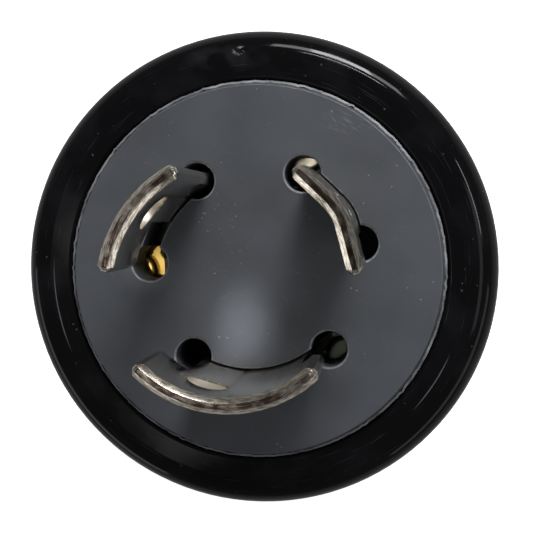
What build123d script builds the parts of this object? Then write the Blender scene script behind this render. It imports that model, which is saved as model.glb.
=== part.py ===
from build123d import *
from math import cos, radians, sin, sqrt
import os

# Rewirable twist lock plug with three curved blades, standing on its cord end, blades up.
# Millimetres. The origin is the middle of the flat cord end and +Z runs to the blade tips.
# Angles are counted from +X, counter-clockwise as seen from the blade side.

# Overall sizes
body_length = 62.0
blade_reach = 18.0
face_diameter = 39.2
face_step = 1.2
face_bevel_width = 0.4
fit_gap = 0.12

# Shell
collar_diameter = 50.6
collar_length = 10.0
collar_round = 3.0
grip_diameter = 46.6
rib_count = 36
rib_radius = 0.9
seat_ledge = 1.6
shoulder_height = 17.0
shoulder_rise = 8.0
floor_rise = 3.5
neck_diameter = 32.0
edge_round = 0.6
neck_fillet = 2.0
shoulder_fillet = 3.0

# Face insert and terminal carrier
face_plate = 6.0
insert_depth = 12.5
carrier_depth = 11.5
barrier_drop = 6.0
barrier_wall = 1.5
barrier_gap = 1.0
blade_circle_diameter = 22.4
slot_gap = 0.15
relief_diameter = 3.8
mouth_chamfer = 0.2

# Blades and terminals
blade_thickness = 1.5
blade_bevel = 0.5
blade_corner = 0.6
tab_height = 8.5
blade_hole_diameter = 4.0
blade_hole_height = 11.9
bend_radius = 5.0
notch_reach = 4.0
notch_turn = 20.0
strap_turn = 17.0
foot_thickness = 1.5
foot_edge = 2.6
foot_turn = 13.0
foot_lap_turn = 8.0
foot_gap = 0.1
recess_turn = 1.0
terminal_screw_diameter = 3.2
terminal_screw_length = 6.0
terminal_head_diameter = 4.6
terminal_head_height = 2.0
driver_slot = 0.8
clamp_plate_width = 5.6
clamp_plate_thickness = 1.2
clamp_plate_corner = 0.8
well_gap = 0.35
well_side = 2.0
well_turn = 12.0
wire_circle_diameter = 14.8
wire_hole_diameter = 4.2
wire_hole_mouth = 0.6

# Body screws and the threaded inserts that they pull on
body_screw_edge = 2.8
body_screw_angles = (98.0, 211.0, 346.0)
body_screw_diameter = 3.0
body_screw_end_gap = 0.5
body_head_diameter = 5.4
body_head_height = 2.0
screw_gap = 0.2
thread_insert_diameter = 4.2
thread_insert_length = 6.0
thread_insert_groove = 0.3
boss_wall = 1.1
head_seat_depth = 8.0

# Cord entry and clamp
cord_bore = 11.0
jaw_bore = 12.8
jaw_parting = 1.2
jaw_height = 11.0
cheek_wall = 4.0
rail_width = 2.3
rail_height = 2.6
tooth_count = 3
tooth_height = 1.2
tooth_depth = 0.7
grommet_height = 3.4
grommet_wall = 3.0
clamp_screw_edge = 3.0
clamp_screw_diameter = 2.6
clamp_head_diameter = 4.4
clamp_head_height = 1.8
clamp_nut_width = 4.4
clamp_nut_height = 2.0
clamp_seat_depth = 6.7

# Each blade: its tip centre-line as points, the angles where its root starts and ends at the
# face, the angle of the hole through it, the angles of its two relief holes in the face, and its
# terminal screw. Each point is a share of the blade circle's radius, and an angle.
blades = {
    "hot": {
        "tip": ((0.978, 116.0), (0.987, 145.0), (1.028, 176.5)),
        "root": (116.0, 150.6),
        "hole": 143.5,
        "relief": (123.7, 176.3),
        "screw": (1.285, 182.5),
    },
    "neutral": {
        "tip": ((0.988, 3.2), (1.018, 33.0), (1.022, 61.0)),
        "root": (20.0, 61.0),
        "hole": 34.0,
        "relief": (14.7, 63.9),
        "screw": (1.205, 70.0),
    },
    "ground": {
        "tip": ((1.046, 221.0), (1.000, 267.5), (0.968, 314.0)),
        "root": (239.6, 302.5),
        "hole": 253.0,
        "relief": (234.2, 313.5),
        "screw": (1.196, 313.0),
    },
}

# Heights and radii worked out from the sizes above
face_height = body_length
rim_height = face_height - face_step
plate_underside = face_height - face_plate
insert_bottom = face_height - insert_depth
foot_top = insert_bottom + foot_thickness
clamp_plate_top = foot_top + clamp_plate_thickness
carrier_bottom = insert_bottom - carrier_depth
collar_bottom = rim_height - collar_length
shoulder_top = shoulder_height + shoulder_rise
chamber_floor = shoulder_top + floor_rise
head_seat = shoulder_height + head_seat_depth
jaw_top = rail_height + jaw_height
tab_underside = face_height + tab_height
clamp_screw_height = rail_height + jaw_height / 2
face_radius = face_diameter / 2
blade_radius = blade_circle_diameter / 2
slot_width = blade_thickness + 2 * slot_gap
wire_circle = wire_circle_diameter / 2
foot_inner = blade_radius - blade_thickness / 2
notch_inner = blade_radius - notch_reach
notch_outer = blade_radius + notch_reach
body_screw_circle = face_radius - body_screw_edge
bore_radius = face_radius + fit_gap
chamber_radius = bore_radius - seat_ledge
neck_radius = neck_diameter / 2
grip_radius = grip_diameter / 2
collar_radius = collar_diameter / 2
cord_radius = cord_bore / 2
jaw_width = neck_diameter - 2 * cheek_wall
jaw_tongue_width = jaw_width - 2 * rail_width
clamp_screw_spacing = jaw_width - 2 * clamp_screw_edge
clamp_flat = neck_radius - clamp_seat_depth
boss_radius = body_head_diameter / 2 + screw_gap + boss_wall
well_radius = clamp_plate_width / sqrt(2) + well_gap
body_screw_length = insert_bottom + thread_insert_length - body_screw_end_gap - head_seat

os.makedirs("parts", exist_ok=True)


def polar(radius, angle):
    """Return the X and Y of a point given by its radius and angle."""
    return (radius * cos(radians(angle)), radius * sin(radians(angle)))


def ring_sector(inner, outer, start, end, height):
    """Return a flat piece of a ring between two angles, at a height."""
    with BuildSketch(Plane.XY.offset(height), mode=Mode.PRIVATE) as sector:
        with BuildLine():
            CenterArc((0, 0), inner, start, end - start)
            CenterArc((0, 0), outer, start, end - start)
            Line(polar(inner, start), polar(outer, start))
            Line(polar(inner, end), polar(outer, end))
        make_face()
    return sector.sketch


def blade_line(name, blade):
    """Return a blade's centre-line, which its slot follows too."""
    points = [polar(share * blade_radius, angle) for share, angle in blade["tip"]]
    with BuildLine(mode=Mode.PRIVATE) as line:
        if name == "neutral":
            FilletPolyline(*points, radius=bend_radius)
        else:
            ThreePointArc(*points)
    return line.line


def screw_place(blade):
    """Return the radius and angle of a blade's terminal screw."""
    share, angle = blade["screw"]
    return (share * blade_radius, angle)


def save(builder, name):
    """Label a finished piece and write its STEP file."""
    builder.part.label = name
    export_step(builder.part, f"parts/{name}.step")


# Shell: one moulded body from the round collar to the neck that holds the cord clamp
with BuildPart() as shell:
    with BuildSketch(Plane.XZ):
        with BuildLine():
            Polyline(
                (0, 0),
                (neck_radius, 0),
                (neck_radius, shoulder_height),
                (grip_radius, shoulder_top),
                (grip_radius, collar_bottom - rib_radius),
                (collar_radius, collar_bottom + rib_radius),
                (collar_radius, rim_height),
                (0, rim_height),
                close=True,
            )
        make_face()
    revolve(axis=Axis.Z)
    fillet(shell.edges().group_by(Axis.Z)[-1], collar_round)
    neck_edge = shell.edges().filter_by_position(Axis.Z, shoulder_height - 0.01, shoulder_height + 0.01)
    fillet(neck_edge, neck_fillet)
    shoulder_edge = shell.edges().filter_by_position(Axis.Z, shoulder_top - 0.01, shoulder_top + 0.01)
    fillet(shoulder_edge, shoulder_fillet)
    chamfer(shell.edges().group_by(Axis.Z)[0], edge_round)

    # Grip ribs between the shoulder and the collar
    with BuildSketch(Plane.XY.offset(shoulder_top + rib_radius)):
        with PolarLocations(grip_radius, rib_count):
            Circle(rib_radius)
    extrude(amount=collar_bottom - shoulder_top - rib_radius)

    # Stepped bore: seat for the face insert and carrier, wiring chamber, funnel, cord hole
    with BuildSketch(Plane.XZ):
        with BuildLine():
            Polyline(
                (0, 0),
                (cord_radius, 0),
                (cord_radius, shoulder_height),
                (cord_radius + grommet_wall, shoulder_height),
                (cord_radius + grommet_wall, shoulder_height + grommet_height),
                (chamber_radius, chamber_floor),
                (chamber_radius, carrier_bottom),
                (bore_radius, carrier_bottom),
                (bore_radius, rim_height),
                (0, rim_height),
                close=True,
            )
        make_face()
    revolve(axis=Axis.Z, mode=Mode.SUBTRACT)
    fillet(shell.edges().group_by(Axis.Z)[-1].sort_by(SortBy.LENGTH)[0], edge_round)

    # Screw bosses from the funnel up to the carrier seat
    with BuildSketch(Plane.XY.offset(shoulder_top)):
        for angle in body_screw_angles:
            with Locations(polar(body_screw_circle, angle)):
                Circle(boss_radius)
    extrude(amount=carrier_bottom - shoulder_top)
    with BuildSketch(Plane.XY.offset(carrier_bottom)):
        for angle in body_screw_angles:
            with Locations(polar(body_screw_circle, angle)):
                Circle(body_screw_diameter / 2 + screw_gap)
    extrude(amount=-carrier_bottom, mode=Mode.SUBTRACT)
    with BuildSketch(Plane.XY.offset(head_seat)):
        for angle in body_screw_angles:
            with Locations(polar(body_screw_circle, angle)):
                Circle(body_head_diameter / 2 + screw_gap)
    extrude(amount=-head_seat, mode=Mode.SUBTRACT)

    # Bay for the two clamp jaws, with a rail under each side
    with BuildSketch(Plane.XY.offset(rail_height - fit_gap)):
        Rectangle(jaw_width + 2 * fit_gap, neck_diameter)
    extrude(amount=jaw_height + 2 * fit_gap, mode=Mode.SUBTRACT)
    with BuildSketch(Plane.XY):
        Rectangle(jaw_tongue_width + 2 * fit_gap, neck_diameter)
    extrude(amount=rail_height, mode=Mode.SUBTRACT)
save(shell, "shell")

# Face insert: the grey front with the blade slots, the terminal wells behind it, screw bosses
with BuildPart() as face_insert:
    with BuildSketch(Plane.XY.offset(insert_bottom)):
        Circle(face_radius)
    extrude(amount=insert_depth)
    chamfer(face_insert.edges().group_by(Axis.Z)[-1], face_step, face_bevel_width)

    for name, blade in blades.items():
        first_hole, second_hole = blade["relief"]
        screw_radius, screw_angle = screw_place(blade)
        with BuildSketch(Plane.XY.offset(face_height)):
            trace(blade_line(name, blade), line_width=slot_width)
            add(ring_sector(notch_inner, notch_outer, first_hole, second_hole, 0), mode=Mode.INTERSECT)
            with Locations(polar(blade_radius, first_hole), polar(blade_radius, second_hole)):
                Circle(relief_diameter / 2)
        extrude(amount=-insert_depth, mode=Mode.SUBTRACT)

        # Well round the blade root, the terminal screw and the end of its wire
        root_well = ring_sector(
            blade_radius - well_side,
            blade_radius + well_side,
            first_hole - well_turn,
            screw_angle,
            insert_bottom,
        )
        extrude(root_well, amount=plate_underside - insert_bottom, mode=Mode.SUBTRACT)
        with BuildSketch(Plane.XY.offset(insert_bottom)):
            with Locations(polar(screw_radius, screw_angle)):
                Circle(well_radius)
            with Locations(Location((*polar(wire_circle, screw_angle), 0), screw_angle)):
                SlotCenterToCenter(2 * (screw_radius - wire_circle), wire_hole_diameter)
        extrude(amount=plate_underside - insert_bottom, mode=Mode.SUBTRACT)

        # Shallow recess that holds the blade foot down on the carrier
        foot_recess = ring_sector(
            foot_inner - foot_gap,
            screw_radius + foot_edge + foot_gap,
            screw_angle - strap_turn - foot_lap_turn - recess_turn,
            screw_angle + foot_turn + recess_turn,
            insert_bottom,
        )
        extrude(foot_recess, amount=foot_thickness + foot_gap, mode=Mode.SUBTRACT)

    # Seats of the threaded inserts
    with BuildSketch(Plane.XY.offset(insert_bottom)):
        for angle in body_screw_angles:
            with Locations(polar(body_screw_circle, angle)):
                Circle(thread_insert_diameter / 2)
    extrude(amount=thread_insert_length, mode=Mode.SUBTRACT)
    mouths = face_insert.faces().sort_by(Axis.Z)[-1].inner_wires()
    chamfer(mouths.edges(), mouth_chamfer)
save(face_insert, "face_insert")

# Terminal carrier: the inner insert that the blade feet rest on, with a hole for each wire
with BuildPart() as carrier:
    with BuildSketch(Plane.XY.offset(carrier_bottom)):
        Circle(face_radius)
    extrude(amount=carrier_depth)
    for blade in blades.values():
        screw_radius, screw_angle = screw_place(blade)
        with BuildSketch(Plane.XY.offset(insert_bottom)):
            with Locations(polar(screw_radius, screw_angle)):
                Circle(terminal_screw_diameter / 2 + screw_gap)
        extrude(amount=-terminal_screw_length, mode=Mode.SUBTRACT)
        with BuildSketch(Plane.XY.offset(insert_bottom)):
            with Locations(polar(wire_circle, screw_angle)):
                Circle(wire_hole_diameter / 2)
        extrude(amount=-carrier_depth, mode=Mode.SUBTRACT)
    chamfer(carrier.faces().sort_by(Axis.Z)[0].inner_wires().edges(), wire_hole_mouth)
    with BuildSketch(Plane.XY.offset(carrier_bottom)):
        for angle in body_screw_angles:
            with Locations(polar(body_screw_circle, angle)):
                Circle(body_screw_diameter / 2 + screw_gap)
    extrude(amount=carrier_depth, mode=Mode.SUBTRACT)

    # Barriers that keep the three wires apart in the chamber
    with BuildSketch(Plane.XY.offset(carrier_bottom)):
        for angle in body_screw_angles:
            barrier_end = body_screw_circle - boss_radius - barrier_gap
            with Locations(Location((*polar(barrier_end / 2, angle), 0), angle)):
                Rectangle(barrier_end, barrier_wall)
    extrude(amount=-barrier_drop)
save(carrier, "terminal_carrier")

# Blades: curved plate with a locking tab, narrow root, and a folded foot for the terminal
for name, blade in blades.items():
    before_tip = blade["tip"][0][1] - notch_turn
    after_tip = blade["tip"][-1][1] + notch_turn
    root_start, root_end = blade["root"]
    screw_radius, screw_angle = screw_place(blade)
    strap_end = screw_angle - strap_turn
    with BuildPart() as contact:
        with BuildSketch(Plane.XY.offset(insert_bottom)):
            trace(blade_line(name, blade), line_width=blade_thickness)
        extrude(amount=insert_depth + blade_reach)

        # Rounded tip corners and the bevel that leads the tip into a socket
        tip_ends = contact.edges().group_by(Axis.Z)[-1].sort_by(SortBy.LENGTH)[:2]
        fillet(tip_ends, blade_corner)
        tip_rim = contact.faces().sort_by(Axis.Z)[-1].edges().sort_by(SortBy.LENGTH)[2:]
        chamfer(tip_rim, blade_bevel)

        # Notches under the locking tab, and the end of the strap beside the screw
        before_root = ring_sector(notch_inner, notch_outer, before_tip, root_start, tab_underside)
        extrude(before_root, amount=insert_bottom - tab_underside, mode=Mode.SUBTRACT)
        after_root = ring_sector(notch_inner, notch_outer, root_end, after_tip, tab_underside)
        extrude(after_root, amount=plate_underside - tab_underside, mode=Mode.SUBTRACT)
        after_strap = ring_sector(notch_inner, notch_outer, strap_end, after_tip, plate_underside)
        extrude(after_strap, amount=insert_bottom - plate_underside, mode=Mode.SUBTRACT)

        # Round hole through the blade, over the locking tab's lower edge
        hole_middle = (*polar(blade_radius, blade["hole"]), face_height + blade_hole_height)
        with BuildSketch(Plane(origin=hole_middle, z_dir=(*polar(1, blade["hole"]), 0))):
            Circle(blade_hole_diameter / 2)
        extrude(amount=notch_reach, both=True, mode=Mode.SUBTRACT)

        # Foot with the tapped hole
        foot_outer = screw_radius + foot_edge
        foot_start = strap_end - foot_lap_turn
        foot = ring_sector(foot_inner, foot_outer, foot_start, screw_angle + foot_turn, insert_bottom)
        extrude(foot, amount=foot_thickness)
        with BuildSketch(Plane.XY.offset(insert_bottom)):
            with Locations(polar(screw_radius, screw_angle)):
                Circle(terminal_screw_diameter / 2)
        extrude(amount=foot_thickness, mode=Mode.SUBTRACT)
    save(contact, f"{name}_blade")

    # Clamp plate between the foot and the screw head
    with BuildPart() as clamp_plate:
        plate_place = Location((*polar(screw_radius, screw_angle), 0), screw_angle)
        with BuildSketch(Plane.XY.offset(foot_top)):
            with Locations(plate_place):
                RectangleRounded(clamp_plate_width, clamp_plate_width, clamp_plate_corner)
                Circle(terminal_screw_diameter / 2 + screw_gap / 2, mode=Mode.SUBTRACT)
        extrude(amount=clamp_plate_thickness)
    save(clamp_plate, f"{name}_clamp_plate")

    # Terminal screw, its head towards the blade face
    with BuildPart() as terminal_screw:
        with BuildSketch(Plane.XY.offset(clamp_plate_top)):
            with Locations(plate_place):
                Circle(terminal_head_diameter / 2)
        extrude(amount=terminal_head_height)
        fillet(terminal_screw.edges().group_by(Axis.Z)[-1], terminal_head_height / 3)
        with BuildSketch(Plane.XY.offset(clamp_plate_top)):
            with Locations(plate_place):
                Circle(terminal_screw_diameter / 2)
        extrude(amount=-terminal_screw_length)
        with BuildSketch(Plane.XY.offset(clamp_plate_top + terminal_head_height)):
            with Locations(plate_place):
                Rectangle(driver_slot, terminal_head_diameter)
        extrude(amount=-terminal_head_height / 2, mode=Mode.SUBTRACT)
    save(terminal_screw, f"{name}_terminal_screw")

# Body screws from the shoulder, and the threaded inserts in the face insert
for number, angle in enumerate(body_screw_angles, start=1):
    x, y = polar(body_screw_circle, angle)
    with BuildPart() as body_screw:
        with BuildSketch(Plane.XY.offset(head_seat)):
            with Locations((x, y)):
                Circle(body_head_diameter / 2)
        extrude(amount=-body_head_height)
        fillet(body_screw.edges().group_by(Axis.Z)[0], body_head_height / 3)
        with BuildSketch(Plane.XY.offset(head_seat)):
            with Locations((x, y)):
                Circle(body_screw_diameter / 2)
        extrude(amount=body_screw_length)
        with BuildSketch(Plane.XY.offset(head_seat - body_head_height)):
            with Locations((x, y)):
                Rectangle(body_head_diameter, driver_slot)
        extrude(amount=body_head_height / 2, mode=Mode.SUBTRACT)
    save(body_screw, f"body_screw_{number}")

    with BuildPart() as thread_insert:
        with BuildSketch(Plane.XY.offset(insert_bottom)):
            with Locations((x, y)):
                Circle(thread_insert_diameter / 2)
                Circle(body_screw_diameter / 2, mode=Mode.SUBTRACT)
        extrude(amount=thread_insert_length)
        with BuildSketch(Plane.XY.offset(insert_bottom + thread_insert_length / 2)):
            with Locations((x, y)):
                Circle(thread_insert_diameter / 2)
                Circle(thread_insert_diameter / 2 - thread_insert_groove, mode=Mode.SUBTRACT)
        extrude(amount=thread_insert_groove, both=True, mode=Mode.SUBTRACT)
    save(thread_insert, f"thread_insert_{number}")

# Rubber grommet that closes the shell round the cord
with BuildPart() as grommet:
    with BuildSketch(Plane.XZ):
        with BuildLine():
            Polyline(
                (cord_radius + fit_gap, shoulder_height),
                (cord_radius + grommet_wall - fit_gap, shoulder_height),
                (cord_radius + grommet_wall - fit_gap, shoulder_height + grommet_height),
                (cord_radius + grommet_wall / 2, shoulder_height + grommet_height),
                close=True,
            )
        make_face()
    revolve(axis=Axis.Z)
save(grommet, "cord_grommet")

# Clamp jaws: two halves on the rails, with teeth round the cord and two screws across
for name, side in (("head_side_jaw", -1), ("nut_side_jaw", 1)):
    with BuildPart() as jaw:
        with BuildSketch(Plane.XY.offset(rail_height)):
            Circle(neck_radius)
            Rectangle(jaw_width, neck_diameter, mode=Mode.INTERSECT)
        extrude(amount=jaw_height)
        with BuildSketch(Plane.XY):
            Circle(neck_radius)
            Rectangle(jaw_tongue_width, neck_diameter, mode=Mode.INTERSECT)
        extrude(amount=rail_height)
        with BuildSketch(Plane.XY):
            Circle(jaw_bore / 2)
        extrude(amount=jaw_top, mode=Mode.SUBTRACT)

        # Teeth round the cord
        tooth_pitch = jaw_top / tooth_count
        for tooth in range(tooth_count):
            tooth_middle = (tooth + 0.5) * tooth_pitch
            with BuildSketch(Plane.XY.offset(tooth_middle - tooth_height / 2)):
                Circle(jaw_bore / 2)
                Circle(jaw_bore / 2 - tooth_depth, mode=Mode.SUBTRACT)
            extrude(amount=tooth_height)

        # One half only, with a parting gap
        with BuildSketch(Plane.XY):
            with Locations((0, -side * (neck_diameter - jaw_parting) / 2)):
                Rectangle(neck_diameter, neck_diameter)
        extrude(amount=jaw_top, mode=Mode.SUBTRACT)

        # Channels past which the driver reaches the body screws
        with BuildSketch(Plane.XY):
            for angle in body_screw_angles:
                with Locations(polar(body_screw_circle, angle)):
                    Circle(body_head_diameter / 2 + screw_gap)
        extrude(amount=jaw_top, mode=Mode.SUBTRACT)

        # Screw holes, with a round seat for each head or a square one for each nut
        for x in (-clamp_screw_spacing / 2, clamp_screw_spacing / 2):
            with BuildSketch(Plane.XZ.offset(-side * clamp_flat)):
                with Locations((x, clamp_screw_height)):
                    if side < 0:
                        Circle(clamp_head_diameter / 2 + screw_gap)
                    else:
                        Rectangle(clamp_nut_width + screw_gap, clamp_nut_width + screw_gap)
            extrude(amount=-side * neck_radius, mode=Mode.SUBTRACT)
            with BuildSketch(Plane.XZ):
                with Locations((x, clamp_screw_height)):
                    Circle(clamp_screw_diameter / 2 + screw_gap)
            extrude(amount=neck_radius, both=True, mode=Mode.SUBTRACT)
    save(jaw, name)

for name, x in (("left", -clamp_screw_spacing / 2), ("right", clamp_screw_spacing / 2)):
    with BuildPart() as clamp_screw:
        with BuildSketch(Plane.XZ.offset(clamp_flat)):
            with Locations((x, clamp_screw_height)):
                Circle(clamp_head_diameter / 2)
        extrude(amount=clamp_head_height)
        fillet(clamp_screw.edges().group_by(Axis.Y)[0], clamp_head_height / 3)
        with BuildSketch(Plane.XZ.offset(clamp_flat)):
            with Locations((x, clamp_screw_height)):
                Circle(clamp_screw_diameter / 2)
        extrude(amount=-(2 * clamp_flat + clamp_nut_height))
        with BuildSketch(Plane.XZ.offset(clamp_flat + clamp_head_height)):
            with Locations((x, clamp_screw_height)):
                Rectangle(driver_slot, clamp_head_diameter)
        extrude(amount=-clamp_head_height / 2, mode=Mode.SUBTRACT)
    save(clamp_screw, f"{name}_clamp_screw")

    with BuildPart() as clamp_nut:
        with BuildSketch(Plane.XZ.offset(-clamp_flat)):
            with Locations((x, clamp_screw_height)):
                Rectangle(clamp_nut_width, clamp_nut_width)
                Circle(clamp_screw_diameter / 2, mode=Mode.SUBTRACT)
        extrude(amount=-clamp_nut_height)
    save(clamp_nut, f"{name}_clamp_nut")
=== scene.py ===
import math
import random

import bmesh
import bpy
from mathutils import Matrix, Vector


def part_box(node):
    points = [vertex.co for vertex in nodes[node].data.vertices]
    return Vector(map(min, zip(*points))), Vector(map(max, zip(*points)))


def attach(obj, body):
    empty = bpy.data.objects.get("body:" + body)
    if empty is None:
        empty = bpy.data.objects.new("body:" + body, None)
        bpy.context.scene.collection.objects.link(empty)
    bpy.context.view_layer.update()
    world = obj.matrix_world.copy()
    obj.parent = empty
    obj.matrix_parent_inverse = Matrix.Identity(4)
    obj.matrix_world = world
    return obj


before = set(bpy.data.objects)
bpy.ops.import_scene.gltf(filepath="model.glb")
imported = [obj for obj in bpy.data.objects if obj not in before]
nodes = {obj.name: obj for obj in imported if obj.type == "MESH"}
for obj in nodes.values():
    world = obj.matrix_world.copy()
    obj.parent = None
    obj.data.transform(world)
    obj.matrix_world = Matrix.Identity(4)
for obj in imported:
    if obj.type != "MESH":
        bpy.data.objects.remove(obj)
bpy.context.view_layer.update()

# The camera.
# The plug is photographed face on, from a hand's breadth above its blade tips and a little to
# the right, so the near blades lean outwards and show their inner sides.
MM = 0.001
FACE_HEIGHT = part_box("face_insert")[1][2]
PHOTO_PIXELS = 533
SENSOR_WIDTH = 36.0
CAMERA_FROM_FACE = Vector((14.175, 6.138, 115.67)) * MM
CAMERA_PITCH = 0.049
CAMERA_YAW = -0.112
FOCAL_PIXELS = 1121.5
CLIP_START = 10 * MM

camera_data = bpy.data.cameras.new("camera")
camera_data.sensor_width = SENSOR_WIDTH
camera_data.lens = FOCAL_PIXELS / PHOTO_PIXELS * SENSOR_WIDTH
camera_data.clip_start = CLIP_START
camera = bpy.data.objects.new("camera", camera_data)
bpy.context.scene.collection.objects.link(camera)
camera_turn = Matrix.Rotation(-CAMERA_YAW, 4, "Y") @ Matrix.Rotation(-CAMERA_PITCH, 4, "X")
camera.matrix_world = Matrix.Translation(Vector((0, 0, FACE_HEIGHT)) + CAMERA_FROM_FACE) @ camera_turn
bpy.context.scene.camera = camera
bpy.context.scene.view_settings.view_transform = "Standard"


# Face insert, of nylon 6.
# Injection moulded in a mid grey, with the satin skin of the mould, which spreads highlights
# wide. It scuffs white where outlets have rubbed it, and dust gathers in the skin. A pale band
# round the top of its rim is partly wear and partly a painted edge highlight.
def linear(hex_color):
    """Turns an sRGB hex colour to a linear RGBA tuple."""
    channels = [int(hex_color[i:i + 2], 16) / 255 for i in (1, 3, 5)]
    return (*[c / 12.92 if c <= 0.04045 else ((c + 0.055) / 1.055) ** 2.4 for c in channels], 1.0)


def add_node(tree, kind, inputs=None, **settings):
    """Adds a shader node, sets its settings, and sets or links its inputs."""
    node = tree.nodes.new(kind)
    for name, value in settings.items():
        setattr(node, name, value)
    for name, value in (inputs or {}).items():
        if isinstance(value, bpy.types.NodeSocket):
            tree.links.new(value, node.inputs[name])
        else:
            node.inputs[name].default_value = value
    return node


def new_material(name):
    """Starts a material and returns it with its empty node tree."""
    material = bpy.data.materials.new(name)
    material.use_nodes = True
    material.node_tree.nodes.clear()
    return material, material.node_tree


def finish_material(tree, shader):
    """Joins a shader to the material's output."""
    add_node(tree, "ShaderNodeOutputMaterial", {"Surface": shader.outputs[0]})


def math_node(tree, operation, first, second=0.0):
    """The result of one sum on two values or sockets."""
    return add_node(tree, "ShaderNodeMath", {0: first, 1: second}, operation=operation).outputs[0]


def object_place(tree):
    """The point's place in the object, in metres."""
    return add_node(tree, "ShaderNodeTexCoord").outputs["Object"]


def sized(tree, place, size_mm, turn=0.0):
    """A place turned about Z and divided by the size of the features along each axis."""
    return add_node(
        tree,
        "ShaderNodeMapping",
        {"Vector": place, "Scale": tuple(size * MM for size in size_mm), "Rotation": (0.0, 0.0, turn)},
        vector_type="TEXTURE",
    ).outputs[0]


def ramp(tree, value, low, high, out_low=0.0, out_high=1.0):
    """Maps a value from low..high to out_low..out_high, clamped."""
    return add_node(
        tree,
        "ShaderNodeMapRange",
        {"Value": value, "From Min": low, "From Max": high, "To Min": out_low, "To Max": out_high},
    ).outputs[0]


def mix(tree, factor, first, second):
    """Mixes two colours by a factor."""
    node = add_node(tree, "ShaderNodeMix", data_type="RGBA")
    for name, value in (("Factor_Float", factor), ("A_Color", first), ("B_Color", second)):
        socket = next(s for s in node.inputs if s.identifier == name)
        if isinstance(value, bpy.types.NodeSocket):
            tree.links.new(value, socket)
        else:
            socket.default_value = value
    return next(s for s in node.outputs if s.identifier == "Result_Color")


def noise(tree, place, size_mm, detail=2.0, turn=0.0):
    """A noise value with features of a size along each axis."""
    return add_node(
        tree,
        "ShaderNodeTexNoise",
        {"Vector": sized(tree, place, size_mm, turn), "Scale": 1.0, "Detail": detail},
    ).outputs[0]


def scratches(tree, place, width_mm, length_mm, turns, amount):
    """Fine straight scratches in a few directions, as a value from 0 to 1."""
    total = 0.0
    for turn in turns:
        lines = noise(tree, place, (length_mm, width_mm, 50.0), 1.0, turn)
        total = math_node(tree, "MAXIMUM", total, ramp(tree, lines, amount, amount + 0.03))
    return total


def specks(tree, place, spacing_mm, radius_mm, patch_mm, amount):
    """Round dust specks that gather in patches, as a value from 0 to 1."""
    cells = add_node(
        tree, "ShaderNodeTexVoronoi", {"Vector": sized(tree, place, (spacing_mm,) * 3), "Scale": 1.0}
    )
    dots = ramp(tree, cells.outputs["Distance"], radius_mm / spacing_mm, 0.5 * radius_mm / spacing_mm)
    patches = ramp(tree, noise(tree, place, (patch_mm,) * 3, 2.0), amount, amount + 0.06)
    return math_node(tree, "MULTIPLY", dots, patches)


def near(tree, middle_mm, size_mm):
    """A value that rises from 0 to 1 towards a point measured from the middle of the face."""
    middle = Vector(middle_mm) * MM + Vector((0, 0, FACE_HEIGHT))
    moved = add_node(
        tree,
        "ShaderNodeMapping",
        {
            "Vector": object_place(tree),
            "Location": tuple(middle),
            "Scale": tuple(size * MM for size in size_mm),
        },
        vector_type="TEXTURE",
    )
    length = add_node(tree, "ShaderNodeVectorMath", {0: moved.outputs[0]}, operation="LENGTH")
    return ramp(tree, length.outputs["Value"], 1.0, 0.4)


def assign(material, *names):
    """Gives CAD nodes a material."""
    for name in names:
        node = nodes[name]
        node.data.materials.clear()
        node.data.materials.append(material)


NYLON_GREY = "#4d5056"
NYLON_DARK = "#45484d"
NYLON_SCUFF = "#a5a7ab"
NYLON_RIM_WEAR_AND_HIGHLIGHT = "#8e9095"
SPECKS_MM = (-3.4, 4.2, 0.0)
SPECKS_SIZE_MM = (3.6, 5.6, 1.0)
SCUFF_MM = (9.6, 15.4, 0.0)
SCUFF_SIZE_MM = (3.4, 1.6, 1.0)
SCUFF_TURN = 2.55
SCRATCH_TURNS = (0.5, 2.2, 2.9)
SCRATCH_WIDTH_MM = 0.10
# The pale rim band, partly wear and partly painted edge highlight, lies between these depths below the face.
RIM_TOP_MM = 0.01
RIM_BOTTOM_MM = 0.3
NYLON_IOR = 1.53

insert_nylon, tree = new_material("moulded grey nylon")
place = object_place(tree)
cloud = noise(tree, place, (7.0, 7.0, 7.0), 4.0)
# The skin's real grain is finer, and 0.14 mm is the finest that the picture can show.
grain = noise(tree, place, (0.14, 0.14, 0.14), 2.0)
speck_mask = specks(tree, place, 0.9, 0.10, 6.0, 0.54)
gathered = math_node(
    tree, "MULTIPLY", specks(tree, place, 0.45, 0.11, 0.9, 0.52), near(tree, SPECKS_MM, SPECKS_SIZE_MM)
)
scuff = math_node(
    tree,
    "MULTIPLY",
    scratches(tree, place, SCRATCH_WIDTH_MM, 1.2, (SCUFF_TURN,), 0.60),
    near(tree, SCUFF_MM, SCUFF_SIZE_MM),
)
scratch_mask = scratches(tree, place, SCRATCH_WIDTH_MM, 2.4, SCRATCH_TURNS, 0.78)
height = add_node(tree, "ShaderNodeSeparateXYZ", {0: place}).outputs["Z"]
rim_wear_and_highlight_mask = math_node(
    tree,
    "MULTIPLY",
    ramp(tree, height, FACE_HEIGHT - RIM_TOP_MM * MM, FACE_HEIGHT - 4 * RIM_TOP_MM * MM),
    ramp(tree, height, FACE_HEIGHT - RIM_BOTTOM_MM * MM, FACE_HEIGHT - RIM_BOTTOM_MM / 2 * MM),
)
rim_patchiness = ramp(tree, noise(tree, place, (0.5, 0.5, 0.5), 3.0), 0.3, 0.6, 0.35, 0.9)
base = mix(tree, ramp(tree, cloud, 0.35, 0.65), linear(NYLON_DARK), linear(NYLON_GREY))
# Painted edge highlight, with some wear: a pale band round the top of the insert's rim.
base = mix(tree, math_node(tree, "MULTIPLY", rim_wear_and_highlight_mask, rim_patchiness), base, linear(NYLON_RIM_WEAR_AND_HIGHLIGHT))
base = mix(tree, ramp(tree, scratch_mask, 0.0, 1.0, 0.0, 0.25), base, linear(NYLON_SCUFF))
base = mix(tree, ramp(tree, scuff, 0.0, 1.0, 0.0, 0.22), base, linear(NYLON_SCUFF))
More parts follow.
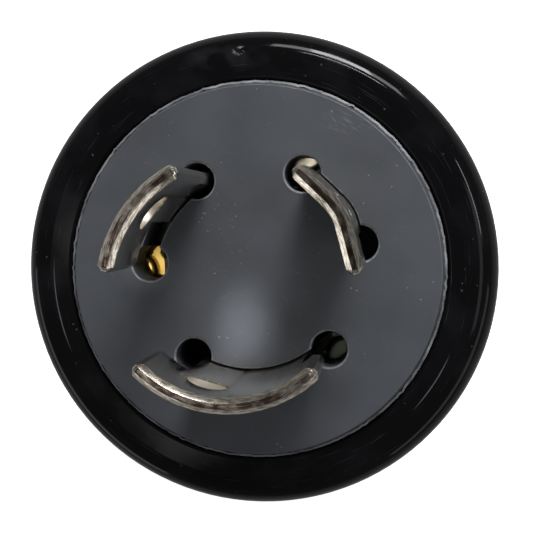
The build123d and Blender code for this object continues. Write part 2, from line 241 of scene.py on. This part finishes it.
base = mix(tree, ramp(tree, speck_mask, 0.0, 1.0, 0.0, 0.6), base, linear(NYLON_SCUFF))
base = mix(tree, ramp(tree, gathered, 0.0, 1.0, 0.0, 0.6), base, linear(NYLON_SCUFF))
bump = add_node(tree, "ShaderNodeBump", {"Height": grain, "Strength": 0.2, "Distance": 0.01 * MM})
shader = add_node(
    tree,
    "ShaderNodeBsdfPrincipled",
    {
        "Base Color": base,
        "Roughness": ramp(tree, cloud, 0.3, 0.7, 0.48, 0.58),
        "IOR": NYLON_IOR,
        "Specular IOR Level": 0.35,
        "Normal": bump.outputs[0],
    },
)
finish_material(tree, shader)
assign(insert_nylon, "face_insert")

# Flash round the face insert, of the same nylon.
# A thin ragged lip that squeezed out where the mould halves met, pale where it is torn. It
# lies on the insert's bevel and fills the gap to the shell.
FLASH_STEPS = 540
FLASH_RADII_MM = (19.57, 19.80, 19.70)
FLASH_HEIGHTS_MM = (-1.04, -1.15, -1.26)
FLASH_RAG_MM = 0.03
FLASH_REACH_MM = 0.022
SPIKE_SHARE = 0.04
SPIKE_SIZE = 5.0
NYLON_TORN_DARK = "#45474b"
NYLON_TORN_PALE = "#8a8c8f"

rng = random.Random(7)
flash_mesh = bmesh.new()
flash_rings = []
wobble = [
    rng.gauss(0.0, 1.0) + (SPIKE_SIZE if rng.random() < SPIKE_SHARE else 0.0) for _ in range(FLASH_STEPS)
]
for step in range(FLASH_STEPS):
    angle = 2 * math.pi * step / FLASH_STEPS
    rag = 0.5 * wobble[step] + 0.3 * wobble[step - 1] + 0.3 * wobble[step - 23]
    inner, outer, under = FLASH_RADII_MM
    radii = (inner + FLASH_RAG_MM * rag, outer + FLASH_REACH_MM * rag, under)
    ring = []
    for radius, height in zip(radii, FLASH_HEIGHTS_MM):
        point = Vector((radius * math.cos(angle), radius * math.sin(angle), height)) * MM
        ring.append(flash_mesh.verts.new(point + Vector((0, 0, FACE_HEIGHT))))
    flash_rings.append(ring)
for step in range(FLASH_STEPS):
    this, following = flash_rings[step], flash_rings[(step + 1) % FLASH_STEPS]
    for side in range(3):
        other = (side + 1) % 3
        flash_mesh.faces.new((this[side], this[other], following[other], following[side]))
bmesh.ops.recalc_face_normals(flash_mesh, faces=flash_mesh.faces)
mesh = bpy.data.meshes.new("moulding_flash")
flash_mesh.to_mesh(mesh)
flash_mesh.free()
flash = bpy.data.objects.new("moulding_flash", mesh)
bpy.context.scene.collection.objects.link(flash)

torn_nylon, tree = new_material("torn grey nylon")
place = object_place(tree)
patch = noise(tree, place, (2.2, 2.2, 2.2), 4.0)
grain = noise(tree, place, (0.1, 0.1, 0.1), 2.0)
bump = add_node(tree, "ShaderNodeBump", {"Height": grain, "Strength": 0.6, "Distance": 0.03 * MM})
base = mix(tree, ramp(tree, patch, 0.35, 0.65), linear(NYLON_TORN_DARK), linear(NYLON_TORN_PALE))
shader = add_node(
    tree,
    "ShaderNodeBsdfPrincipled",
    {
        "Base Color": base,
        "Roughness": 0.55,
        "IOR": NYLON_IOR,
        "Normal": bump.outputs[0],
    },
)
finish_material(tree, shader)
mesh.materials.append(torn_nylon)
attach(flash, "root")

# Shell, of black nylon 6/6.
# One glossy moulding, from the rounded collar to the neck, which mirrors the window in thin
# bright lines. The gloss carries fine rub marks round the collar, grey dust and one scuffed
# nick, and the mould left a faint ripple. Two thin grey lines on the collar are painted
# reflections, and a soft grey patch is mixed in at the top of the collar.
NYLON_BLACK = "#0a0a0c"
NYLON_DUST = "#1b1c1f"
RUB_GREY = "#4a4b50"
SPECK_GREY = "#6a6c70"
PATCH_GREY = "#3b3c40"
REFLECTED_LINE_GREY = "#77797e"
NICK_GREY = "#98999c"
COLLAR_RADIUS_MM = 23.0
NICK_MM = (-1.9, 22.9, -1.3)
NICK_SIZE_MM = (0.8, 0.6, 1.2)
# A soft grey patch mixed in at the top of the collar, where the gloss looks dull and grey.
GREY_PATCH_MM = (-3.2, 22.3, -1.2)
GREY_PATCH_SIZE_MM = (5.0, 1.6, 1.2)
# Two thin grey lines, painted reflections, run round the collar at this radius near these points.
REFLECTED_LINE_RADIUS_MM = 21.9
LEFT_REFLECTED_LINE_MM = (-21.2, -4.2, -1.2)
LEFT_REFLECTED_LINE_SIZE_MM = (2.0, 6.0, 2.0)
RIGHT_REFLECTED_LINE_MM = (18.6, -11.8, -1.2)
RIGHT_REFLECTED_LINE_SIZE_MM = (3.6, 3.6, 2.0)


def round_place(tree, radius_mm):
    """The point's distance from the plug's axis, its arc length at a radius, and its height."""
    split = add_node(tree, "ShaderNodeSeparateXYZ", {0: object_place(tree)})
    across, along = split.outputs["X"], split.outputs["Y"]
    squares = [math_node(tree, "POWER", side, 2.0) for side in (across, along)]
    square = math_node(tree, "ADD", *squares)
    return add_node(
        tree,
        "ShaderNodeCombineXYZ",
        {
            "X": math_node(tree, "SQRT", square),
            "Y": math_node(tree, "MULTIPLY", math_node(tree, "ARCTAN2", along, across), radius_mm * MM),
            "Z": split.outputs["Z"],
        },
    ).outputs[0]


shell_nylon, tree = new_material("glossy black nylon")
place = object_place(tree)
round_way = round_place(tree, COLLAR_RADIUS_MM)
cloud = noise(tree, place, (6.0, 6.0, 6.0), 3.0)
ripple = noise(tree, place, (4.0, 4.0, 4.0), 2.0)
rubs = noise(tree, round_way, (0.12, 5.0, 0.12), 2.0)
speck_mask = specks(tree, place, 1.3, 0.12, 5.0, 0.52)
crumbs = ramp(tree, noise(tree, place, (0.5, 0.4, 0.5), 4.0), 0.5, 0.62)
nick = math_node(tree, "MULTIPLY", near(tree, NICK_MM, NICK_SIZE_MM), crumbs)
base = mix(tree, ramp(tree, cloud, 0.5, 0.75, 0.0, 0.5), linear(NYLON_BLACK), linear(NYLON_DUST))
base = mix(tree, ramp(tree, rubs, 0.66, 0.74, 0.0, 0.24), base, linear(RUB_GREY))
base = mix(tree, ramp(tree, speck_mask, 0.0, 1.0, 0.0, 0.5), base, linear(SPECK_GREY))
# The soft grey patch at the top of the collar.
grey_patch = math_node(tree, "MULTIPLY", near(tree, GREY_PATCH_MM, GREY_PATCH_SIZE_MM), ramp(tree, cloud, 0.42, 0.62, 0.0, 0.7))
base = mix(tree, grey_patch, base, linear(PATCH_GREY))
radius = add_node(tree, "ShaderNodeSeparateXYZ", {0: round_way}).outputs["X"]
# Painted reflection: thin grey lines on the collar where reflected lines of light fall.
off_reflected_line = math_node(tree, "ABSOLUTE", math_node(tree, "SUBTRACT", radius, REFLECTED_LINE_RADIUS_MM * MM))
painted_reflected_line = math_node(
    tree,
    "MAXIMUM",
    near(tree, LEFT_REFLECTED_LINE_MM, LEFT_REFLECTED_LINE_SIZE_MM),
    near(tree, RIGHT_REFLECTED_LINE_MM, RIGHT_REFLECTED_LINE_SIZE_MM),
)
painted_reflected_line = math_node(tree, "MULTIPLY", painted_reflected_line, ramp(tree, off_reflected_line, 0.07 * MM, 0.02 * MM, 0.0, 0.6))
base = mix(tree, painted_reflected_line, base, linear(REFLECTED_LINE_GREY))
base = mix(tree, ramp(tree, nick, 0.0, 1.0, 0.0, 0.7), base, linear(NICK_GREY))
bump = add_node(tree, "ShaderNodeBump", {"Height": ripple, "Strength": 0.15, "Distance": 0.05 * MM})
bump = add_node(
    tree, "ShaderNodeBump", {"Height": nick, "Strength": 1.0, "Distance": 0.1 * MM, "Normal": bump.outputs[0]}
)
rough = math_node(
    tree, "MAXIMUM", ramp(tree, cloud, 0.35, 0.7, 0.05, 0.13), ramp(tree, nick, 0.0, 1.0, 0.0, 0.6)
)
shader = add_node(
    tree,
    "ShaderNodeBsdfPrincipled",
    {
        "Base Color": base,
        "Roughness": rough,
        "IOR": NYLON_IOR,
        "Specular IOR Level": 0.13,
        "Normal": bump.outputs[0],
    },
)
finish_material(tree, shader)
assign(shell_nylon, "shell")

# Blades, of brass with bright nickel plating.
# Stamped from strip, with coined tips and one round hole, and plated. Rubbing in outlets
# leaves streaks round the blade, pale rough bevels, and brown tarnish on the flat of the tip;
# the bevels' pale colour is partly a painted highlight. The punched wall of the hole is matt,
# and its near-white colour is partly a painted highlight, so it shows as a pale lens. Below
# the face the blades carry painted shade.
NICKEL = "#c9c4bb"
NICKEL_WORN_AND_HIGHLIGHT = "#ded8cc"
NICKEL_MATT = "#a39889"
NICKEL_CUT_AND_HIGHLIGHT = "#f0e8d8"
NICKEL_TARNISH = "#372a24"
NICKEL_PAINTED_SHADE = "#2a2724"
TIP_HEIGHT_MM = 18.0
TIP_BEVEL_MM = 0.5
BLADE_RADIUS_MM = 11.2
# The middle of the two holes whose walls are seen, and the blade's own radius there.
BLADE_HOLES_MM = (((-8.88, 6.57, 11.9), 11.05), ((-3.32, -10.85, 11.9), 11.35))
HOLE_SIZE_MM = (4.0, 4.0, 4.0)
# A hole's pale wall, a matt cut partly painted as a highlight, fades out between these distances
# from the middle of the blade's thickness.
HOLE_WALL_MM = (0.66, 0.58)
# Painted shade: the blades are painted darker between these depths below the face, where daylight hardly
# reaches.
SHADE_FROM_MM = 1.0
SHADE_TO_MM = 3.0
WELD_MM = 0.002
SOFT_EDGE_MM = 0.16
SOFT_EDGE_STEPS = 4
SOFT_EDGE_ANGLE = 28

plated_nickel, tree = new_material("nickel plated brass")
place = object_place(tree)
round_way = round_place(tree, BLADE_RADIUS_MM)
height = add_node(tree, "ShaderNodeSeparateXYZ", {0: place}).outputs["Z"]
tip_height = FACE_HEIGHT + TIP_HEIGHT_MM * MM
flat_mask = ramp(tree, height, tip_height - 0.03 * MM, tip_height - 0.01 * MM)
bevel_mask = ramp(tree, height, tip_height - 1.3 * TIP_BEVEL_MM * MM, tip_height - TIP_BEVEL_MM * MM)
streak = noise(tree, round_way, (0.10, 3.0, 0.4), 2.0)
fine = noise(tree, round_way, (0.10, 0.8, 0.3), 2.0)
patch = noise(tree, place, (1.4, 1.4, 3.0), 3.0)
stain = math_node(
    tree, "MULTIPLY", flat_mask, ramp(tree, math_node(tree, "ADD", streak, patch), 0.7, 1.1, 0.45, 1.0)
)
stain = math_node(tree, "MAXIMUM", stain, ramp(tree, patch, 0.58, 0.75, 0.0, 0.5))
# Pale bevels: rubbed wear, partly a painted highlight.
worn_and_highlight = mix(tree, ramp(tree, fine, 0.42, 0.58), linear(NICKEL_MATT), linear(NICKEL_WORN_AND_HIGHLIGHT))
base = mix(tree, bevel_mask, linear(NICKEL), worn_and_highlight)
base = mix(tree, stain, base, linear(NICKEL_TARNISH))
# Painted shade: the blades darken below the face.
painted_depth_shade = ramp(tree, height, FACE_HEIGHT - SHADE_FROM_MM * MM, FACE_HEIGHT - SHADE_TO_MM * MM, 0.0, 0.9)
base = mix(tree, painted_depth_shade, base, linear(NICKEL_PAINTED_SHADE))
radius = add_node(tree, "ShaderNodeSeparateXYZ", {0: round_way}).outputs["X"]
cut_wall_and_highlight = 0.0
for middle_mm, radius_mm in BLADE_HOLES_MM:
    off_middle = math_node(tree, "ABSOLUTE", math_node(tree, "SUBTRACT", radius, radius_mm * MM))
    one_cut_wall_and_highlight = ramp(tree, off_middle, *[side * MM for side in HOLE_WALL_MM])
    one_cut_wall_and_highlight = math_node(tree, "MULTIPLY", one_cut_wall_and_highlight, near(tree, middle_mm, HOLE_SIZE_MM))
    cut_wall_and_highlight = math_node(tree, "MAXIMUM", cut_wall_and_highlight, one_cut_wall_and_highlight)
# Painted highlight: the seen hole walls are paled almost to white, over their matt cut.
base = mix(tree, cut_wall_and_highlight, base, linear(NICKEL_CUT_AND_HIGHLIGHT))
bump = add_node(tree, "ShaderNodeBump", {"Height": streak, "Strength": 0.3, "Distance": 0.012 * MM})
bump = add_node(
    tree,
    "ShaderNodeBump",
    {"Height": fine, "Strength": 0.3, "Distance": 0.008 * MM, "Normal": bump.outputs[0]},
)
rough = math_node(
    tree, "MAXIMUM", ramp(tree, patch, 0.4, 0.7, 0.14, 0.26), ramp(tree, bevel_mask, 0.0, 1.0, 0.0, 0.18)
)
rough = math_node(tree, "MAXIMUM", rough, math_node(tree, "MULTIPLY", cut_wall_and_highlight, 0.65))
shader = add_node(
    tree,
    "ShaderNodeBsdfPrincipled",
    {"Base Color": base, "Metallic": 1.0, "Roughness": rough, "Normal": bump.outputs[0]},
)
finish_material(tree, shader)
assign(plated_nickel, "hot_blade", "neutral_blade", "ground_blade")
for name in ("hot_blade", "neutral_blade", "ground_blade"):
    nodes[name].modifiers.new("weld", "WELD").merge_threshold = WELD_MM * MM
    softened = nodes[name].modifiers.new("softened edges", "BEVEL")
    softened.width = SOFT_EDGE_MM * MM
    softened.segments = SOFT_EDGE_STEPS
    softened.angle_limit = math.radians(SOFT_EDGE_ANGLE)
    softened.harden_normals = True

# Terminal screws and clamp plates.
# The turned brass screw marks the hot terminal, the nickel plated one the neutral and the
# green dyed one the ground. Each pulls a square plate down on its wire. The threaded inserts
# of the body screws are of the same warm, half bright brass.
BRASS = "#e8c068"
GREEN_DYE = "#343b2d"
SCREW_NICKEL = "#d8cdb8"
DULL_ZINC = "#5d5a54"
GRAIN_DARK = "#1c1a18"


def plain_metal(name, color, roughness, metallic=1.0):
    """A machined metal with a fine turned grain."""
    material, tree = new_material(name)
    # The real tool marks are finer, and 0.15 mm is the finest that the picture can show.
    grain = noise(tree, object_place(tree), (0.15, 0.15, 0.15), 2.0)
    bump = add_node(tree, "ShaderNodeBump", {"Height": grain, "Strength": 0.2, "Distance": 0.01 * MM})
    base = mix(tree, ramp(tree, grain, 0.3, 0.7, 0.0, 0.25), linear(color), linear(GRAIN_DARK))
    shader = add_node(
        tree,
        "ShaderNodeBsdfPrincipled",
        {
            "Base Color": base,
            "Metallic": metallic,
            "Roughness": roughness,
            "Normal": bump.outputs[0],
        },
    )
    finish_material(tree, shader)
    return material


terminal_brass = plain_metal("turned brass", BRASS, 0.4)
assign(terminal_brass, "hot_terminal_screw", "hot_clamp_plate")
assign(terminal_brass, "thread_insert_1", "thread_insert_2", "thread_insert_3")
assign(plain_metal("nickel plated steel", SCREW_NICKEL, 0.3), "neutral_terminal_screw")
assign(plain_metal("dull zinc plated steel", DULL_ZINC, 0.5), "neutral_clamp_plate", "ground_clamp_plate")
assign(plain_metal("green dyed steel", GREEN_DYE, 0.4, 0.6), "ground_terminal_screw")

# Terminal carrier, cord grommet and clamp jaws.
# The carrier and jaws are black nylon with the dull skin of unpolished moulds, which greys
# them a little. The grommet is soft black rubber, with hardly any shine.
CARRIER_BLACK = "#141416"
CARRIER_PALE = "#1f1f22"
RUBBER_BLACK = "#18181a"
RUBBER_PALE = "#262628"

inner_nylon, tree = new_material("dull black nylon")
grain = noise(tree, object_place(tree), (0.3, 0.3, 0.3), 3.0)
bump = add_node(tree, "ShaderNodeBump", {"Height": grain, "Strength": 0.4, "Distance": 0.03 * MM})
shader = add_node(
    tree,
    "ShaderNodeBsdfPrincipled",
    {
        "Base Color": mix(tree, ramp(tree, grain, 0.3, 0.7), linear(CARRIER_BLACK), linear(CARRIER_PALE)),
        "Roughness": 0.5,
        "IOR": NYLON_IOR,
        "Normal": bump.outputs[0],
    },
)
finish_material(tree, shader)
assign(inner_nylon, "terminal_carrier", "head_side_jaw", "nut_side_jaw")

rubber, tree = new_material("black rubber")
grain = noise(tree, object_place(tree), (0.6, 0.6, 0.6), 3.0)
shader = add_node(
    tree,
    "ShaderNodeBsdfPrincipled",
    {
        "Base Color": mix(tree, ramp(tree, grain, 0.3, 0.7), linear(RUBBER_BLACK), linear(RUBBER_PALE)),
        "Roughness": 0.8,
        "IOR": 1.52,
    },
)
finish_material(tree, shader)
assign(rubber, "cord_grommet")

# Body screws, clamp screws and clamp nuts.
# Cold headed steel, zinc plated, which leaves a bright pale skin. The clamp screws draw the
# two jaws together on the cord, against square nuts.
ZINC = "#c2c2bd"

assign(
    plain_metal("zinc plated steel", ZINC, 0.3),
    "body_screw_1",
    "body_screw_2",
    "body_screw_3",
    "left_clamp_screw",
    "right_clamp_screw",
    "left_clamp_nut",
    "right_clamp_nut",
)

# The floor.
# A wide white board under the plug, bright to the camera and paler in the metal than in the
# light it throws back, that keeps the plug's shadow.
FLOOR_SIZE = 1.6
BOARD_GREY = "#6a6a6a"
BOARD_WHITE = "#e8e8e8"
BOARD_GLOW = 0.84
BOARD_IN_METAL = 0.28

floor_mesh = bpy.data.meshes.new("floor")
half = FLOOR_SIZE / 2
floor_mesh.from_pydata(
    [(-half, -half, 0), (half, -half, 0), (half, half, 0), (-half, half, 0)], [], [(0, 1, 2, 3)]
)
floor = bpy.data.objects.new("floor", floor_mesh)
bpy.context.scene.collection.objects.link(floor)
floor_board, tree = new_material("white board")
paths = add_node(tree, "ShaderNodeLightPath")
seen = math_node(tree, "MAXIMUM", paths.outputs["Is Camera Ray"], paths.outputs["Is Transmission Ray"])
glossy = paths.outputs["Is Glossy Ray"]
tone = mix(tree, seen, linear(BOARD_GREY), linear(BOARD_WHITE))
board = add_node(tree, "ShaderNodeBsdfDiffuse", {"Color": tone})
strength = math_node(
    tree,
    "MAXIMUM",
    math_node(tree, "MULTIPLY", seen, BOARD_GLOW),
    ramp(tree, glossy, 0.0, 1.0, 0.0, BOARD_IN_METAL),
)
glow = add_node(tree, "ShaderNodeEmission", {"Color": (1.0, 1.0, 1.0, 1.0), "Strength": strength})
finish_material(tree, add_node(tree, "ShaderNodeAddShader", {0: board.outputs[0], 1: glow.outputs[0]}))
floor_mesh.materials.append(floor_board)

# The lights.
# A low window beyond the top of the picture draws the bright arc on the collar and the long
# blade shadows, and its wide blind softens the arc's ends. A sill above it, a strip at the
# right and pale cards overhead, at the left and at the right are seen in the metal and the
# gloss. One narrow beam stands for the daylight that the wide blade throws back, and three
# for the light that falls down the wells of the terminal screws.
ROOM_LIGHT = 0.16
BEAM_RADIUS_MM = 1.5

world = bpy.data.worlds.new("room")
world.use_nodes = True
tree = world.node_tree
tree.nodes.clear()
paths = add_node(tree, "ShaderNodeLightPath")
seen = math_node(tree, "MAXIMUM", paths.outputs["Is Camera Ray"], paths.outputs["Is Transmission Ray"])
background = add_node(
    tree,
    "ShaderNodeBackground",
    {"Color": (1.0, 1.0, 1.0, 1.0), "Strength": ramp(tree, seen, 0.0, 1.0, ROOM_LIGHT, 1.0)},
)
add_node(tree, "ShaderNodeOutputWorld", {"Surface": background.outputs[0]})
bpy.context.scene.world = world


def area_lamp(name, place_mm, size_mm, watts):
    """A rectangular lamp at a place measured from the face, aimed at the face."""
    data = bpy.data.lights.new(name, "AREA")
    data.shape = "RECTANGLE"
    data.size, data.size_y = size_mm[0] * MM, size_mm[1] * MM
    data.energy = watts
    lamp = bpy.data.objects.new(name, data)
    place = Vector(place_mm) * MM
    turn = (-place).to_track_quat("-Z", "Y").to_matrix().to_4x4()
    lamp.matrix_world = Matrix.Translation(place + Vector((0, 0, FACE_HEIGHT))) @ turn
    bpy.context.scene.collection.objects.link(lamp)


area_lamp("window", (115.6, 403, 272), (130, 100), 1.2)
area_lamp("window blind", (116.8, 407, 274.7), (300, 100), 1.1)
area_lamp("window sill", (91, 317, 374), (150, 11), 0.28)
area_lamp("side strip", (383.6, 128.3, 294), (160, 25), 0.2)
area_lamp("overhead card", (-104, -50, 450), (140, 60), 0.045)
area_lamp("left card", (-377, -236, 5), (500, 90), 0.21)
area_lamp("right card", (369, -249, 95), (450, 90), 0.17)
area_lamp("high right card", (330, 0, 330), (260, 100), 0.11)


def beam_lamp(name, from_mm, to_mm, degrees, watts):
    """A narrow soft beam between two points measured from the face."""
    data = bpy.data.lights.new(name, "SPOT")
    data.energy = watts
    data.spot_size = math.radians(degrees)
    data.spot_blend = 1.0
    data.shadow_soft_size = BEAM_RADIUS_MM * MM
    lamp = bpy.data.objects.new(name, data)
    start = Vector(from_mm) * MM
    turn = (Vector(to_mm) * MM - start).to_track_quat("-Z", "Y").to_matrix().to_4x4()
    lamp.matrix_world = Matrix.Translation(start + Vector((0, 0, FACE_HEIGHT))) @ turn
    bpy.context.scene.collection.objects.link(lamp)


beam_lamp("thrown beam", (20, 200, 240), (-1.3, -5.8, 0), 1.4, 5.8)
beam_lamp("hot well beam", (-12, 0.3, 300), (-11.6, 0.3, 0), 0.7, 1.0)
beam_lamp("neutral well beam", (6.1, 11.5, 300), (6.1, 11.5, 0), 0.4, 0.2)
beam_lamp("ground well beam", (8.5, -9.0, 300), (8.5, -9.0, 0), 0.6, 0.35)
